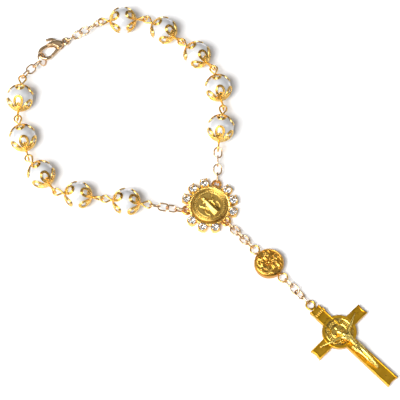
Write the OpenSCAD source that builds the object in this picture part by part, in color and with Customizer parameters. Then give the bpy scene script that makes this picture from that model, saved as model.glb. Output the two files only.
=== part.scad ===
// Rosary bracelet lying flat: a loop of ten faux pearls in pierced caps, a medal centre framed with
// stones, a lobster clasp, and a pendant of two chains, a flower disc and a crucifix.
// The origin is the middle of the outline, on the surface. X is right, Y away, Z up, in millimetres.

/* [Pearls and caps] */
// Diameter of a pearl
pearl_d = 8; // [7.4:0.1:8.8]
// Thickness of a cap's sheet
cap_t = 0.3; // [0.25:0.05:0.4]
// Reach of a cap from its pole, in degrees
cap_reach = 76; // [66:1:80]
// Width of a cap's petal
petal_w = 3; // [2.6:0.1:3.2]
// Width of a petal's rim
petal_rim = 0.5; // [0.4:0.05:0.6]

/* [Wire] */
// Wire diameter of the eye pins
pin_d = 0.56; // [0.5:0.02:0.6]
// Outer width of an eye pin's loop
eye_w = 2.8; // [2.6:0.1:3]
// Reach of an eye pin's loop beyond the cap
eye_l = 3.7; // [3.4:0.1:4]
// Outer length of a chain link
link_l = 3.7; // [3.5:0.05:4]
// Outer width of a chain link
link_w = 2.85; // [2.7:0.05:3]
// Wire diameter of a chain link
link_d = 0.5; // [0.4:0.02:0.52]
// Gap between pieces that touch
fit_gap = 0.06; // [0.05:0.01:0.1]

/* [Medal centre] */
// Diameter of the medal
medal_d = 11; // [10:0.1:12]
// Thickness of the medal at its rim
medal_t = 2.2; // [2:0.1:2.6]
// Girdle diameter of a stone
stone_d = 2.3; // [2:0.1:2.5]
// Centreline diameter of a connector ring
ring_d = 2.4; // [2.3:0.1:2.6]
// Wire diameter of a connector ring
ring_wire = 0.8; // [0.7:0.05:0.85]

/* [Flower disc] */
// Diameter of the disc
disc_d = 9; // [8:0.1:10]
// Thickness of the disc
disc_t = 3.6; // [3.2:0.1:4]

/* [Crucifix] */
// Length of the cross above its crossing
cross_up = 10.3; // [9.6:0.1:11.4]
// Length of the cross below its crossing
cross_down = 21.7; // [20:0.1:24]
// Length of one side arm from the crossing
cross_side = 10.3; // [9.6:0.1:11.4]
// Width of an arm at the crossing
cross_w = 3.6; // [3.3:0.1:4]
// Thickness of the cross
cross_t = 2; // [1.8:0.1:2.4]
// Diameter of the round medal behind the crossing
halo_d = 10.3; // [9.4:0.1:11]

/* [Clasp] */
// Overall length of the clasp
clasp_l = 11.3; // [10.8:0.1:12]
// Outer width of the hook
clasp_w = 5.1; // [4.8:0.1:5.4]
// Thickness of the clasp
clasp_t = 2.6; // [2.5:0.1:2.8]
// Outer diameter of the jump ring
jump_d = 4.6; // [4.4:0.1:5]
// Wire diameter of the jump ring
jump_wire = 0.46; // [0.4:0.02:0.5]

/* [Hidden] */
$fn = 48;

pearl_color = "#f4f1ec";
cap_color = "#d99a3c";
chain_color = "#e3c79a";
gold_color = "#d8a93a";
stone_color = "#e9eef2";

// pearls, caps and eye pins
pearl_r = pearl_d / 2;
pearl_bore_r = 0.5;
cap_r = pearl_r + fit_gap + cap_t;
pin_hole_d = pin_d + 2 * fit_gap;
petals = 5;
petal_points = 16;
petal_start = 14;
petal_taper = 0.25;
hub_r = 0.3 * pearl_r;
eye_collar_r = 0.8 * pin_d;
eye_collar_h = 0.2;
eye_near = cap_r + 2 * fit_gap + eye_collar_h + pin_d / 2;
eye_tip = cap_r + eye_l - pin_d / 2;

// chain
link_pitch = link_l - 2 * link_d - fit_gap;

// medal centre
coin_r = medal_d / 2;
field_depth = 0.35;
frame_r = coin_r + fit_gap;
frame_w = 1.04;
frame_h = 1.9;
cup_h = 1.95;
setting_r = frame_r + 1.84;
ring_r = ring_d / 2;
ring_z = 0.51 * link_w;
ring_place = frame_r + frame_w + ring_r - ring_wire / 2 - 0.16;
stone_r = stone_d / 2;
cup_r = stone_r + fit_gap + 0.2;
seat_z = 0.8;
prong_r = 0.22;
prong_clear = 0.02;
prong_h = cup_h + 0.4;
prong_tip_r = 0.32;

// flower disc
disc_bore_r = pin_d / 2 + fit_gap;
disc_eye_r = 1.35;
disc_eye_x = disc_d / 2 + fit_gap + pin_d + disc_eye_r - 0.36;

// crucifix
cross_ring_r = 1.3;
cross_ring_wire = 0.66;
cross_rim = 0.42;
cross_field = 0.25;
cross_dip = 0.35;

// clasp, measured along its own axis from the tail ring
tail_r = 0.95;
tail_wire = 0.8;
bar_d = 1.12;
clasp_z = clasp_t / 2;
hook_r = (clasp_w - bar_d) / 2;
hook_x = clasp_l - tail_r - tail_wire / 2 - hook_r - bar_d / 2;
pivot = [0.34 * hook_x, 0.2];
hub_out_r = 0.19 * hook_x;
gate_reach = 0.56 * hook_x;
slot_h = 0.34 * clasp_t;
lever_play = 0.08;
rivet_r = 0.3;
jump_r = (jump_d - jump_wire) / 2;
jump_roll = 50;
jump_pitch = 36;
tail_pitch = 12;
// direction in which the jump ring pulls inside the hook, from the clasp's axis
hook_pull = 33;

// routes from the medal to the clasp: heading of each piece from X, and the play at each joint
right_heading = [88, 83, 102, 137, 144, 184, 206, 219];
right_slack = [0, 0.5, 0.8, 0.9, 1.2, 0.5, 0.9, 0.25, 0];
left_heading = [175, 172, 171, 127, 106, 86, 49, 65];
left_slack = [0, 0, 0, 0.4, 1, 1, 0.2, 0.1, 0];
clasp_chain_share = 0.98;
upper_chain_share = 0.79;
lower_chain_share = 0.91;
medal_turn = -47;
ring_turn = 120;
disc_heading = -47;
cross_heading = -45;

// link rolls: 0 lies flat and 90 stands on edge
right_rolls = [90, 0, 90, 0];
left_rolls = [90, 15, -45, 60];
clasp_rolls = [-75, 50, -5, -60, 60];
end_rolls = [90, 20, -50];
upper_rolls = [90, 0, 90, 0, 90];
lower_rolls = [80, 30, -30, -85];

// lengths from joint to joint
bead_len = 2 * eye_tip - pin_d - fit_gap;
tail_grip = (tail_wire + fit_gap) / 2;
tail_joint = [tail_grip * cos(tail_pitch) - tail_r, 0, clasp_z - tail_grip * sin(tail_pitch)];
bar_grip = (bar_d + fit_gap) / 2;
hook_reach = hook_r - bar_grip * cos(jump_pitch);
hook_joint = [hook_x + hook_reach * cos(hook_pull), hook_reach * sin(hook_pull),
    clasp_z - bar_grip * sin(jump_pitch)];
clasp_run = norm(hook_joint - tail_joint);
clasp_skew = atan2(hook_joint.y - tail_joint.y, hook_joint.x - tail_joint.x);
jump_run = 2 * jump_r - jump_wire - fit_gap;
jump_z = hook_joint.z + jump_run * sin(jump_pitch);

function chain_run(rolls, share = 1) =
    link_l - 2 * link_d - fit_gap + (len(rolls) - 1) * link_pitch * share;
function slacked(lengths, slack) =
    [for (k = [0 : len(lengths) - 1]) lengths[k] - (slack[k] + slack[k + 1]) / 2];

bead_runs = [for (k = [1 : 5]) bead_len];
right_runs = slacked(concat([chain_run(right_rolls)], bead_runs,
    [chain_run(clasp_rolls, clasp_chain_share), clasp_run]), right_slack);
left_runs = slacked(concat([chain_run(left_rolls)], bead_runs,
    [chain_run(end_rolls), jump_run]), left_slack);
bead_heights = [for (k = [1 : 6]) pearl_r];
right_z = concat([ring_z], bead_heights, [tail_joint.z, hook_joint.z]);
left_z = concat([ring_z], bead_heights, [jump_z, hook_joint.z]);

// joint number n of a route that starts at a point and is turned about it as a whole
function plan(run, rise) = sqrt(run * run - rise * rise);
function route(start, runs, headings, z, turn, n) =
    n == 0 ? [start.x, start.y, z[0]] :
    let (p = route(start, runs, headings, z, turn, n - 1),
         flat = plan(runs[n - 1], z[n] - z[n - 1]),
         a = headings[n - 1] + turn)
    [p.x + flat * cos(a), p.y + flat * sin(a), z[n]];
function flat_of(p) = [p.x, p.y];
function turn_of(v) = atan2(v.y, v.x);
function polar(r, a) = [r * cos(a), r * sin(a)];

// the two routes are turned about the medal until their far ends meet in the hook
last = len(right_runs);
ring_joint = ring_place + ring_r - ring_wire / 2 - fit_gap / 2;
right_start = polar(ring_joint, medal_turn + ring_turn);
left_start = polar(ring_joint, medal_turn + 2 * ring_turn);
right_reach = flat_of(route(right_start, right_runs, right_heading, right_z, 0, last)) - right_start;
left_reach = flat_of(route(left_start, left_runs, left_heading, left_z, 0, last)) - left_start;
base = left_start - right_start;
along_base = (pow(norm(right_reach), 2) - pow(norm(left_reach), 2) + pow(norm(base), 2))
    / (2 * norm(base));
off_base = sqrt(pow(norm(right_reach), 2) - pow(along_base, 2));
meeting = right_start + (along_base * base + off_base * [base.y, -base.x]) / norm(base);
right_turn = turn_of(meeting - right_start) - turn_of(right_reach);
left_turn = turn_of(meeting - left_start) - turn_of(left_reach);

// pendant: joints along one line from the medal to the cross
upper_run = chain_run(upper_rolls, upper_chain_share);
lower_run = chain_run(lower_rolls, lower_chain_share);
disc_run = 2 * (disc_eye_x + disc_eye_r) - pin_d - fit_gap;
disc_z = disc_t / 2;
upper_start = polar(ring_joint, medal_turn);
pendant_1 = upper_start + polar(plan(upper_run, disc_z - ring_z), disc_heading);
pendant_2 = pendant_1 + polar(disc_run, disc_heading);
pendant_3 = pendant_2 + polar(plan(lower_run, disc_z - ring_z), disc_heading);
cross_ring_x = cross_up + cross_ring_r + 0.15;
crossing = pendant_3 + polar(cross_ring_x + cross_ring_r - cross_ring_wire / 2 - fit_gap / 2,
    cross_heading);

// pearls in plan from the medal, and the middle of the whole outline
function raw_right(n) = route(right_start, right_runs, right_heading, right_z, right_turn, n);
function raw_left(n) = route(left_start, left_runs, left_heading, left_z, left_turn, n);
function raw_bead(i) = i <= 5 ? (raw_right(6 - i) + raw_right(7 - i)) / 2
    : (raw_left(i - 5) + raw_left(i - 4)) / 2;
foot_r = [cross_down, cross_w * 0.54];
foot_corners = [for (s = [-1, 1]) crossing + polar(norm(foot_r), cross_heading + s * turn_of(foot_r))];
cap_side = cap_r * sin(cap_reach);
all_x = concat([for (i = [1 : 10]) raw_bead(i).x - cap_side], [for (c = foot_corners) c.x]);
all_y = concat([for (i = [1 : 10]) raw_bead(i).y + cap_side], [for (c = foot_corners) c.y]);
middle = [(min(all_x) + max(all_x)) / 2, (min(all_y) + max(all_y)) / 2];

medal_at = -middle;
right_joint = [for (n = [0 : last]) raw_right(n) - [middle.x, middle.y, 0]];
left_joint = [for (n = [0 : last]) raw_left(n) - [middle.x, middle.y, 0]];
function lift(p, z) = [p.x - middle.x, p.y - middle.y, z];
pendant_joint = [lift(upper_start, ring_z), lift(pendant_1, disc_z), lift(pendant_2, disc_z),
    lift(pendant_3, ring_z)];
clasp_heading = turn_of(right_joint[8] - right_joint[7]) - clasp_skew;
tail_at = concat(flat_of(right_joint[7]) - polar(tail_joint.x, clasp_heading), [clasp_z]);

// Placing and small shapes

// puts the children on the middle of the line from p to q, X along it, rolled about it
module along(p, q, roll = 0) {
    v = q - p;
    translate((p + q) / 2)
        rotate([0, -asin(v.z / norm(v)), atan2(v.y, v.x)])
            rotate([roll, 0, 0])
                children();
}

module at_bead(i) {
    right = i <= 5;
    n = right ? 6 - i : i - 5;
    joint = right ? right_joint : left_joint;
    slack = right ? right_slack : left_slack;
    along(joint[n], joint[n + 1])
        translate([(slack[n + 1] - slack[n]) / 4, 0, 0])
            children();
}

module rod(r, length) {
    rotate([0, 90, 0])
        cylinder(r = r, h = length);
}

// part of a wire ring in the XY plane, open between the two angles beyond its span
module wire_arc(r, wire, from = 0, span = 360) {
    rotate(from)
        rotate_extrude(angle = span)
            translate([r, 0])
                circle(d = wire);
}

// oval link in the XY plane with its long way on X
module link(length = link_l, width = link_w, wire = link_d) {
    half = (length - width) / 2;
    r = (width - wire) / 2;
    for (turn = [0, 180])
        rotate(turn) {
            translate([half, 0, 0])
                wire_arc(r, wire, -90, 180);
            translate([-half, r, 0])
                rod(wire / 2, 2 * half);
        }
}

// links spread evenly between two joints, with the play at either end
module chain(p, q, rolls, slack = [0, 0]) {
    n = len(rolls);
    tips = norm(q - p) + link_d + fit_gap + (slack[0] + slack[1]) / 2;
    pitch = (tips - link_l + link_d) / (n - 1);
    shift = (slack[1] - slack[0]) / 4;
    for (k = [0 : n - 1])
        along(p, q, rolls[k])
            translate([shift + pitch * (k - (n - 1) / 2), 0, 0])
                link();
}

// Pearls, caps and eye pins

module pearl(i) {
    color(pearl_color)
        at_bead(i)
            rotate([0, 90, 0])
                rotate_extrude()
                    difference() {
                        circle(pearl_r);
                        translate([-pearl_r - 1, -pearl_r - 1])
                            square([pearl_r + 1 + pearl_bore_r, 2 * pearl_r + 2]);
                    }
}

// egg outline of a petal as seen along its middle, its narrow end toward the pole
module petal_outline(inset) {
    a = cap_r * sin((cap_reach - petal_start) / 2) - inset;
    b = petal_w / 2 - inset;
    polygon([for (k = [0 : petal_points - 1])
        let (t = 360 * k / petal_points)
        [a * cos(t), b * sin(t) * (1 - petal_taper * cos(t))]]);
}

module petal_prism(k, inset) {
    rotate([360 * k / petals, 0, 0])
        rotate([0, 90 - (cap_reach + petal_start) / 2, 0])
            linear_extrude(cap_r + 1)
                petal_outline(inset);
}

// cap on the +X side of a pearl at the origin
module cap() {
    color(cap_color)
        difference() {
            intersection() {
                sphere(cap_r);
                union() {
                    rod(hub_r, cap_r + 1);
                    for (k = [0 : petals - 1])
                        petal_prism(k, 0);
                }
            }
            sphere(cap_r - cap_t);
            for (k = [0 : petals - 1])
                petal_prism(k, petal_rim);
            rod(pin_hole_d / 2, cap_r + 1);
        }
}

module cap_pair(i, side) {
    at_bead(i)
        mirror([side == "a" ? 1 : 0, 0, 0])
            cap();
}

// loop in the XY plane, on a collar that rests on the cap
module eye() {
    translate([cap_r + fit_gap, 0, 0])
        rod(eye_collar_r, eye_collar_h);
    translate([(eye_near + eye_tip) / 2, 0, 0])
        link(eye_tip - eye_near + pin_d, eye_w, pin_d);
}

module eye_pin(i, medal_roll = 90) {
    color(cap_color)
        at_bead(i) {
            translate([-eye_near, 0, 0])
                rod(pin_d / 2, 2 * eye_near);
            eye();
            rotate([medal_roll, 0, 180])
                eye();
        }
}

// Chains

module chain_right() {
    color(chain_color)
        chain(right_joint[0], right_joint[1], right_rolls, [right_slack[0], right_slack[1]]);
}

module chain_left() {
    color(chain_color)
        chain(left_joint[0], left_joint[1], left_rolls, [left_slack[0], left_slack[1]]);
}

module chain_clasp() {
    color(chain_color)
        chain(right_joint[6], right_joint[7], clasp_rolls, [right_slack[6], right_slack[7]]);
}

module chain_end() {
    color(chain_color)
        chain(left_joint[6], left_joint[7], end_rolls, [left_slack[6], left_slack[7]]);
}

module chain_pendant_upper() {
    color(chain_color)
        chain(pendant_joint[0], pendant_joint[1], upper_rolls);
}

module chain_pendant_lower() {
    color(chain_color)
        chain(pendant_joint[2], pendant_joint[3], lower_rolls);
}

// Clasp, built with X from its tail ring to its hook and +Y on the gate's side

module at_clasp() {
    translate(tail_at)
        rotate(clasp_heading)
            children();
}

module clasp_block() {
    translate([pivot.x, pivot.y, -clasp_t / 2])
        cylinder(r = hub_out_r, h = clasp_t);
    linear_extrude(clasp_t, center = true)
        polygon([[tail_r, -0.45], [tail_r, 0.45], [pivot.x, pivot.y + 0.9 * hub_out_r],
            [pivot.x + hub_out_r, -0.3], [0.62 * hook_x, -hook_r + bar_d / 2],
            [0.62 * hook_x, -hook_r - bar_d / 2], [pivot.x + 0.5, -hook_r - bar_d / 2]]);
}

module lever_slot() {
    linear_extrude(slot_h, center = true)
        polygon([[0.2 * hook_x, -clasp_w], [0.2 * hook_x, 1.2 * hook_r], [hook_x, 1.2 * hook_r],
            [hook_x, -0.4], [0.47 * hook_x, -0.5], [0.47 * hook_x, -clasp_w]]);
}

module clasp_body() {
    color(chain_color)
        at_clasp() {
            wire_arc(tail_r, tail_wire);
            difference() {
                clasp_block();
                lever_slot();
                translate([pivot.x, pivot.y, -clasp_t])
                    cylinder(r = rivet_r + fit_gap / 2, h = 2 * clasp_t);
            }
            translate([0.6 * hook_x, -hook_r, 0])
                rod(bar_d / 2, 0.4 * hook_x);
            translate([hook_x, 0, 0])
                wire_arc(hook_r, bar_d, -90, 180);
            difference() {
                translate([pivot.x, hook_r, 0])
                    rod(bar_d / 2, hook_x - pivot.x);
                translate([pivot.x, pivot.y, -clasp_t])
                    cylinder(r = gate_reach + 2 * fit_gap, h = 2 * clasp_t);
            }
        }
}

module clasp_lever() {
    t = slot_h - 2 * lever_play;
    color(chain_color)
        at_clasp()
            difference() {
                union() {
                    translate([pivot.x, pivot.y, -t / 2])
                        cylinder(r = 0.66 * hub_out_r, h = t);
                    intersection() {
                        linear_extrude(t, center = true)
                            polygon([[pivot.x, pivot.y - 0.5], [pivot.x, pivot.y + 0.9],
                                [hook_x, hook_r + 0.55], [hook_x, hook_r - 0.45]]);
                        translate([pivot.x, pivot.y, -t])
                            cylinder(r = gate_reach, h = 2 * t);
                    }
                    linear_extrude(t, center = true)
                        polygon([[pivot.x - 0.7, pivot.y], [pivot.x + 0.5, pivot.y],
                            [pivot.x + 0.8, -hook_r - 0.8], [pivot.x + 2.6, -hook_r - 1.6],
                            [pivot.x + 2.3, -hook_r - 2.1], [pivot.x + 0.6, -hook_r - 1.7]]);
                }
                translate([pivot.x, pivot.y, -clasp_t])
                    cylinder(r = rivet_r + fit_gap / 2, h = 2 * clasp_t);
            }
}

module clasp_pin() {
    color(chain_color)
        at_clasp()
            translate([pivot.x, pivot.y, 0.05 - clasp_t / 2])
                cylinder(r = rivet_r, h = clasp_t - 0.1);
}

module jump_ring() {
    color(chain_color)
        along(left_joint[7], left_joint[8], jump_roll)
            wire_arc(jump_r, jump_wire);
}

// Medal centre

module at_medal() {
    translate(medal_at)
        rotate(medal_turn)
            children();
}

// the three places between connector rings take three stones each
module at_stones() {
    for (k = [0 : 11])
        if (k % 4 != 0)
            rotate(30 * k)
                translate([setting_r, 0, 0])
                    children();
}

module prongs() {
    for (a = [45 : 90 : 315])
        rotate(a)
            translate([stone_r + fit_gap + prong_r + prong_clear, 0, 0])
                rotate_extrude()
                    polygon([[0, 0], [prong_r, 0], [prong_r, prong_h - prong_tip_r], [prong_tip_r, prong_h],
                        [0.7 * prong_tip_r, prong_h + 0.7 * prong_tip_r],
                        [0.35 * prong_tip_r, prong_h + prong_tip_r], [0, prong_h + prong_tip_r]]);
}

module stone_frame() {
    color(gold_color)
        at_medal()
            difference() {
                union() {
                    cylinder(r = frame_r + frame_w, h = frame_h);
                    for (k = [0 : 2])
                        rotate(ring_turn * k)
                            translate([ring_place, 0, ring_z])
                                wire_arc(ring_r, ring_wire);
                    at_stones()
                        cylinder(r = cup_r, h = cup_h);
                }
                translate([0, 0, -1])
                    cylinder(r = frame_r, h = 2 * medal_t);
                for (k = [0 : 2])
                    rotate(ring_turn * k)
                        translate([ring_place, 0, -1])
                            cylinder(r = ring_r - ring_wire / 2 - fit_gap / 2, h = 2 * medal_t);
                at_stones()
                    translate([0, 0, seat_z])
                        cylinder(r = stone_r + fit_gap, h = cup_h);
            }
    color(gold_color)
        at_medal()
            at_stones()
                prongs();
}

// round cut stone: eight pavilion facets, a girdle, eight crown facets and a table
module stone() {
    translate([0, 0, 0.95])
        cylinder(r1 = 0.1 * stone_r, r2 = stone_r, h = 0.85, $fn = 8);
    translate([0, 0, 1.8])
        cylinder(r = stone_r, h = 0.1, $fn = 8);
    translate([0, 0, 1.9])
        cylinder(r1 = stone_r, r2 = 0.58 * stone_r, h = 0.4, $fn = 8);
}

module rhinestones() {
    color(stone_color)
        at_medal()
            at_stones()
                stone();
}

// robed figure in low relief, head toward the loop of pearls
module robed_figure() {
    linear_extrude(0.35)
        polygon([[-2.3, -0.55], [-2.3, 0.55], [-1.4, 1], [1.5, 1.05], [3.6, 1.5], [3.9, 0],
            [3.6, -1.3], [1.5, -0.9], [-1.4, -0.95]]);
    translate([-2.9, 0, 0])
        cylinder(r = 0.62, h = 0.42);
    for (s = [-1, 1])
        translate([-1.2, s * 0.7, 0])
            rotate(s * 52)
                translate([0, -0.3, 0])
                    cube([1.9, 0.6, 0.42]);
    linear_extrude(0.5)
        polygon([[-1.6, -0.25], [-1.6, 0.25], [3.5, 0.35], [3.5, -0.1]]);
}

module centre_medal() {
    field_z = medal_t - field_depth;
    color(gold_color)
        at_medal() {
            difference() {
                cylinder(r = coin_r, h = medal_t);
                translate([0, 0, field_z])
                    cylinder(r = 0.88 * coin_r, h = medal_t);
            }
            translate([0, 0, field_z - 0.05])
                difference() {
                    cylinder(r = 0.76 * coin_r, h = 0.3);
                    translate([0, 0, -1])
                        cylinder(r = 0.7 * coin_r, h = 2);
                }
            for (k = [0 : 23])
                rotate(15 * k)
                    translate([0.82 * coin_r, 0, field_z - 0.05])
                        cylinder(r = 0.2, h = 0.28);
            translate([0, 0, field_z - 0.05])
                robed_figure();
        }
}

// Pendant

module at_disc() {
    along(pendant_joint[1], pendant_joint[2])
        children();
}

module flower_face() {
    cylinder(r = 0.9, h = 0.5);
    for (k = [0 : 7])
        rotate(45 * k)
            translate([0.45 * disc_d / 2, 0, 0])
                cylinder(r = 0.76, h = 0.3);
    for (k = [0 : 11])
        rotate(30 * k)
            translate([0.8 * disc_d / 2, 0, -0.25])
                cylinder(r = 0.48, h = 0.45);
}

module flower_disc() {
    r = disc_d / 2;
    h = disc_t / 2 - 0.45;
    color(gold_color)
        at_disc()
            difference() {
                union() {
                    rotate_extrude()
                        polygon([[0, -h], [r - 1, -h], [r - 0.35, -h + 0.4], [r, -0.6], [r, 0.6],
                            [r - 0.35, h - 0.4], [r - 1, h], [0, h]]);
                    for (m = [0, 1])
                        mirror([0, 0, m])
                            translate([0, 0, h - 0.05])
                                flower_face();
                }
                translate([-disc_d, 0, 0])
                    rod(disc_bore_r, 2 * disc_d);
            }
}

module disc_pin() {
    color(cap_color)
        at_disc() {
            translate([-(disc_eye_x - disc_eye_r), 0, 0])
                rod(pin_d / 2, 2 * (disc_eye_x - disc_eye_r));
            for (s = [-1, 1])
                translate([s * disc_eye_x, 0, 0])
                    wire_arc(disc_eye_r, pin_d);
        }
}

module at_cross() {
    translate(lift(crossing, 0))
        rotate(cross_heading)
            children();
}

// hollowed end of one arm, and its inner corner, for an outline drawn smaller by the inset
function arm_end(length, end_w, turn, inset) =
    let (w = end_w / 2 - inset, l = length - inset, corner = cross_w / 2 - inset, steps = 6)
    [for (k = [-1 : steps])
        let (t = 2 * k / steps - 1,
             p = k < 0 ? [corner, -corner] : [l - cross_dip * (1 - t * t), w * t])
        [p.x * cos(turn) - p.y * sin(turn), p.x * sin(turn) + p.y * cos(turn)]];

module cross_outline(inset = 0) {
    side_w = 0.99 * cross_w;
    polygon(concat(
        arm_end(cross_down, 1.06 * cross_w, 0, inset),
        arm_end(cross_side, side_w, 90, inset),
        arm_end(cross_up, side_w, 180, inset),
        arm_end(cross_side, side_w, 270, inset)));
}

// round medal behind the crossing, a dish with two ridges and a ring of beads between them
module halo_medal() {
    r = halo_d / 2;
    t = cross_t;
    rotate_extrude()
        polygon([[0, 0.3], [r, 0.3], [r, t + 0.2], [r - 0.35, t + 0.3], [0.8 * r, t - 0.1],
            [0.77 * r, t + 0.05], [0.73 * r, t - 0.15], [0.5 * r, t - 0.15], [0.47 * r, t],
            [0.43 * r, t - 0.15], [0, t - 0.15]]);
    for (k = [0 : 17])
        rotate(20 * k)
            translate([0.62 * r, 0, t - 0.3])
                cylinder(r = 0.24, h = 0.3);
}

module title_scroll() {
    translate([-0.79 * cross_up, 0, cross_t - 0.5])
        linear_extrude(0.8)
            polygon([[-0.9, -1.9], [0.9, -2.1], [0.7, 0], [0.9, 2.1], [-0.9, 1.9], [-0.7, 0]]);
}

module crucifix() {
    color(gold_color)
        at_cross() {
            difference() {
                linear_extrude(cross_t)
                    cross_outline();
                translate([0, 0, cross_t - cross_field])
                    linear_extrude(cross_t)
                        cross_outline(cross_rim);
            }
            difference() {
                halo_medal();
                figure_bed();
            }
            title_scroll();
            translate([-cross_up - 0.2, -0.5, ring_z - 0.4])
                cube([0.9, 1, 0.8]);
            translate([-cross_ring_x, 0, ring_z])
                wire_arc(cross_ring_r, cross_ring_wire);
        }
}

// part of the halo's rim that is left out under the figure
module figure_bed() {
    translate([0.6 * halo_d / 2, -0.75, cross_t - cross_field])
        cube([0.5 * halo_d / 2, 2.3, 2]);
}

// rounded limb between two points
module limb(p, q, rp, rq) {
    hull() {
        translate(p)
            sphere(rp, $fn = 16);
        translate(q)
            sphere(rq, $fn = 16);
    }
}

module corpus() {
    z = cross_t + 0.75;
    field_z = cross_t - cross_field + fit_gap;
    head = [0.35, -0.5, z + 0.45];
    neck = [1.4, 0, z + 0.4];
    chest = [2.7, 0.3, z + 0.3];
    waist = [5.4, 0.35, z];
    hips = [7, 0.1, z];
    color(gold_color)
        at_cross() {
            limb(head, head + [0.3, 0.05, 0], 0.95, 0.75);
            limb(head, neck, 0.5, 0.5);
            for (s = [-1, 1]) {
                shoulder = [1.9, 0.2 + s * 1.2, z + 0.35];
                elbow = [0.9, s * 4, z + 0.3];
                hand = [-0.35, s * 6.9, field_z + 0.3];
                knee = [10.3, s * 0.5, z + 0.3];
                ankle = [14.2, s * 0.25, z - 0.3];
                limb(shoulder, chest, 0.55, 0.9);
                limb(shoulder, elbow, 0.5, 0.4);
                limb(elbow, hand, 0.4, 0.3);
                limb(hips + [0.5, s * 0.5, 0], knee, 0.75, 0.5);
                limb(knee, ankle, 0.5, 0.36);
                limb(ankle, [15.4, s * 0.15, field_z + 0.32], 0.36, 0.32);
            }
            limb(chest, waist, 1.05, 0.75);
            limb(waist, hips, 0.75, 0.9);
            limb(hips + [0.2, -0.5, 0.1], hips + [1.6, 0.6, 0.05], 0.75, 0.75);
            limb(hips + [0.3, 0.9, 0], hips + [2.6, 1.1, -0.4], 0.45, 0.3);
        }
}

// Nodes

module pearl_01() { pearl(1); }
module pearl_02() { pearl(2); }
module pearl_03() { pearl(3); }
module pearl_04() { pearl(4); }
module pearl_05() { pearl(5); }
module pearl_06() { pearl(6); }
module pearl_07() { pearl(7); }
module pearl_08() { pearl(8); }
module pearl_09() { pearl(9); }
module pearl_10() { pearl(10); }
module cap_01a() { cap_pair(1, "a"); }
module cap_01b() { cap_pair(1, "b"); }
module cap_02a() { cap_pair(2, "a"); }
module cap_02b() { cap_pair(2, "b"); }
module cap_03a() { cap_pair(3, "a"); }
module cap_03b() { cap_pair(3, "b"); }
module cap_04a() { cap_pair(4, "a"); }
module cap_04b() { cap_pair(4, "b"); }
module cap_05a() { cap_pair(5, "a"); }
module cap_05b() { cap_pair(5, "b"); }
module cap_06a() { cap_pair(6, "a"); }
module cap_06b() { cap_pair(6, "b"); }
module cap_07a() { cap_pair(7, "a"); }
module cap_07b() { cap_pair(7, "b"); }
module cap_08a() { cap_pair(8, "a"); }
module cap_08b() { cap_pair(8, "b"); }
module cap_09a() { cap_pair(9, "a"); }
module cap_09b() { cap_pair(9, "b"); }
module cap_10a() { cap_pair(10, "a"); }
module cap_10b() { cap_pair(10, "b"); }
module eye_pin_01() { eye_pin(1); }
module eye_pin_02() { eye_pin(2); }
module eye_pin_03() { eye_pin(3); }
module eye_pin_04() { eye_pin(4); }
module eye_pin_05() { eye_pin(5); }
module eye_pin_06() { eye_pin(6, 0); }
module eye_pin_07() { eye_pin(7); }
module eye_pin_08() { eye_pin(8); }
module eye_pin_09() { eye_pin(9); }
module eye_pin_10() { eye_pin(10); }

pearl_01();
pearl_02();
pearl_03();
pearl_04();
pearl_05();
pearl_06();
pearl_07();
pearl_08();
pearl_09();
pearl_10();
cap_01a();
cap_01b();
cap_02a();
cap_02b();
cap_03a();
cap_03b();
cap_04a();
cap_04b();
cap_05a();
cap_05b();
cap_06a();
cap_06b();
cap_07a();
cap_07b();
cap_08a();
cap_08b();
cap_09a();
cap_09b();
cap_10a();
cap_10b();
eye_pin_01();
eye_pin_02();
eye_pin_03();
eye_pin_04();
eye_pin_05();
eye_pin_06();
eye_pin_07();
eye_pin_08();
eye_pin_09();
eye_pin_10();
chain_right();
chain_left();
chain_pendant_upper();
chain_pendant_lower();
chain_clasp();
chain_end();
jump_ring();
clasp_body();
clasp_lever();
clasp_pin();
stone_frame();
rhinestones();
centre_medal();
flower_disc();
disc_pin();
crucifix();
corpus();
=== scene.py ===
"""Rosary bracelet lying on a pale surface. Sizes are in millimetres until a piece is made."""
import math

import bmesh
import bpy
import numpy as np
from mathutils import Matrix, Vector


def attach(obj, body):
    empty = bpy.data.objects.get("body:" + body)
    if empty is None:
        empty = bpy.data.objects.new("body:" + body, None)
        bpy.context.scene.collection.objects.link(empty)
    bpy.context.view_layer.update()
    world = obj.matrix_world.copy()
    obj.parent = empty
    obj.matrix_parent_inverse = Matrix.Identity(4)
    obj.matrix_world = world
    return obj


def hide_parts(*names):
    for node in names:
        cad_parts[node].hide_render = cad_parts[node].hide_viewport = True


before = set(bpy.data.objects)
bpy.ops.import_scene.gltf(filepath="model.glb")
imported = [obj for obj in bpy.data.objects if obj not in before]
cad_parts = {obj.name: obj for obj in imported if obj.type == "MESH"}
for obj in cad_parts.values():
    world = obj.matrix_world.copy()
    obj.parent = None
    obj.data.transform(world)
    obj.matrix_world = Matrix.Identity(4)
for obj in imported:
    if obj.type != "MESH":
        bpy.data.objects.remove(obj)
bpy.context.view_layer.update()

MM = 0.001
TAU = 2 * math.pi
BODY = "bracelet"

# Points of a mesh that lie closer than this become one
WELD = 0.0004

# Pearls, counted from the clasp down the right string and up the left one
BEADS = 10
RIGHT_BEADS = 5
PEARL_R = 4.0
PEARL_TURN = 40
BORE_R = 0.5

# Caps: the two spheres that they lie between, and the outline of a petal
CAP_OUT = 4.36
CAP_IN = 4.07
PETALS = 5
PETAL_TILT = 45
PETAL_A = 2.245
PETAL_B = 1.5
PETAL_TAPER = 0.25

# Pins through the pearls, with an eye and a short coil at both ends, and the play in each eye
PIN_R = 0.28
EYE_R = 1.12
EYE_FOOT = 4.6
EYE_TIP = 7.78
GAP = 0.06
COIL_R = 0.33
COIL_WIRE = 0.15
COIL_PITCH = 0.3
COIL_TURNS = 1.6
# The one pin whose two eyes lie in one plane
FLAT_PIN = 6

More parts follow.
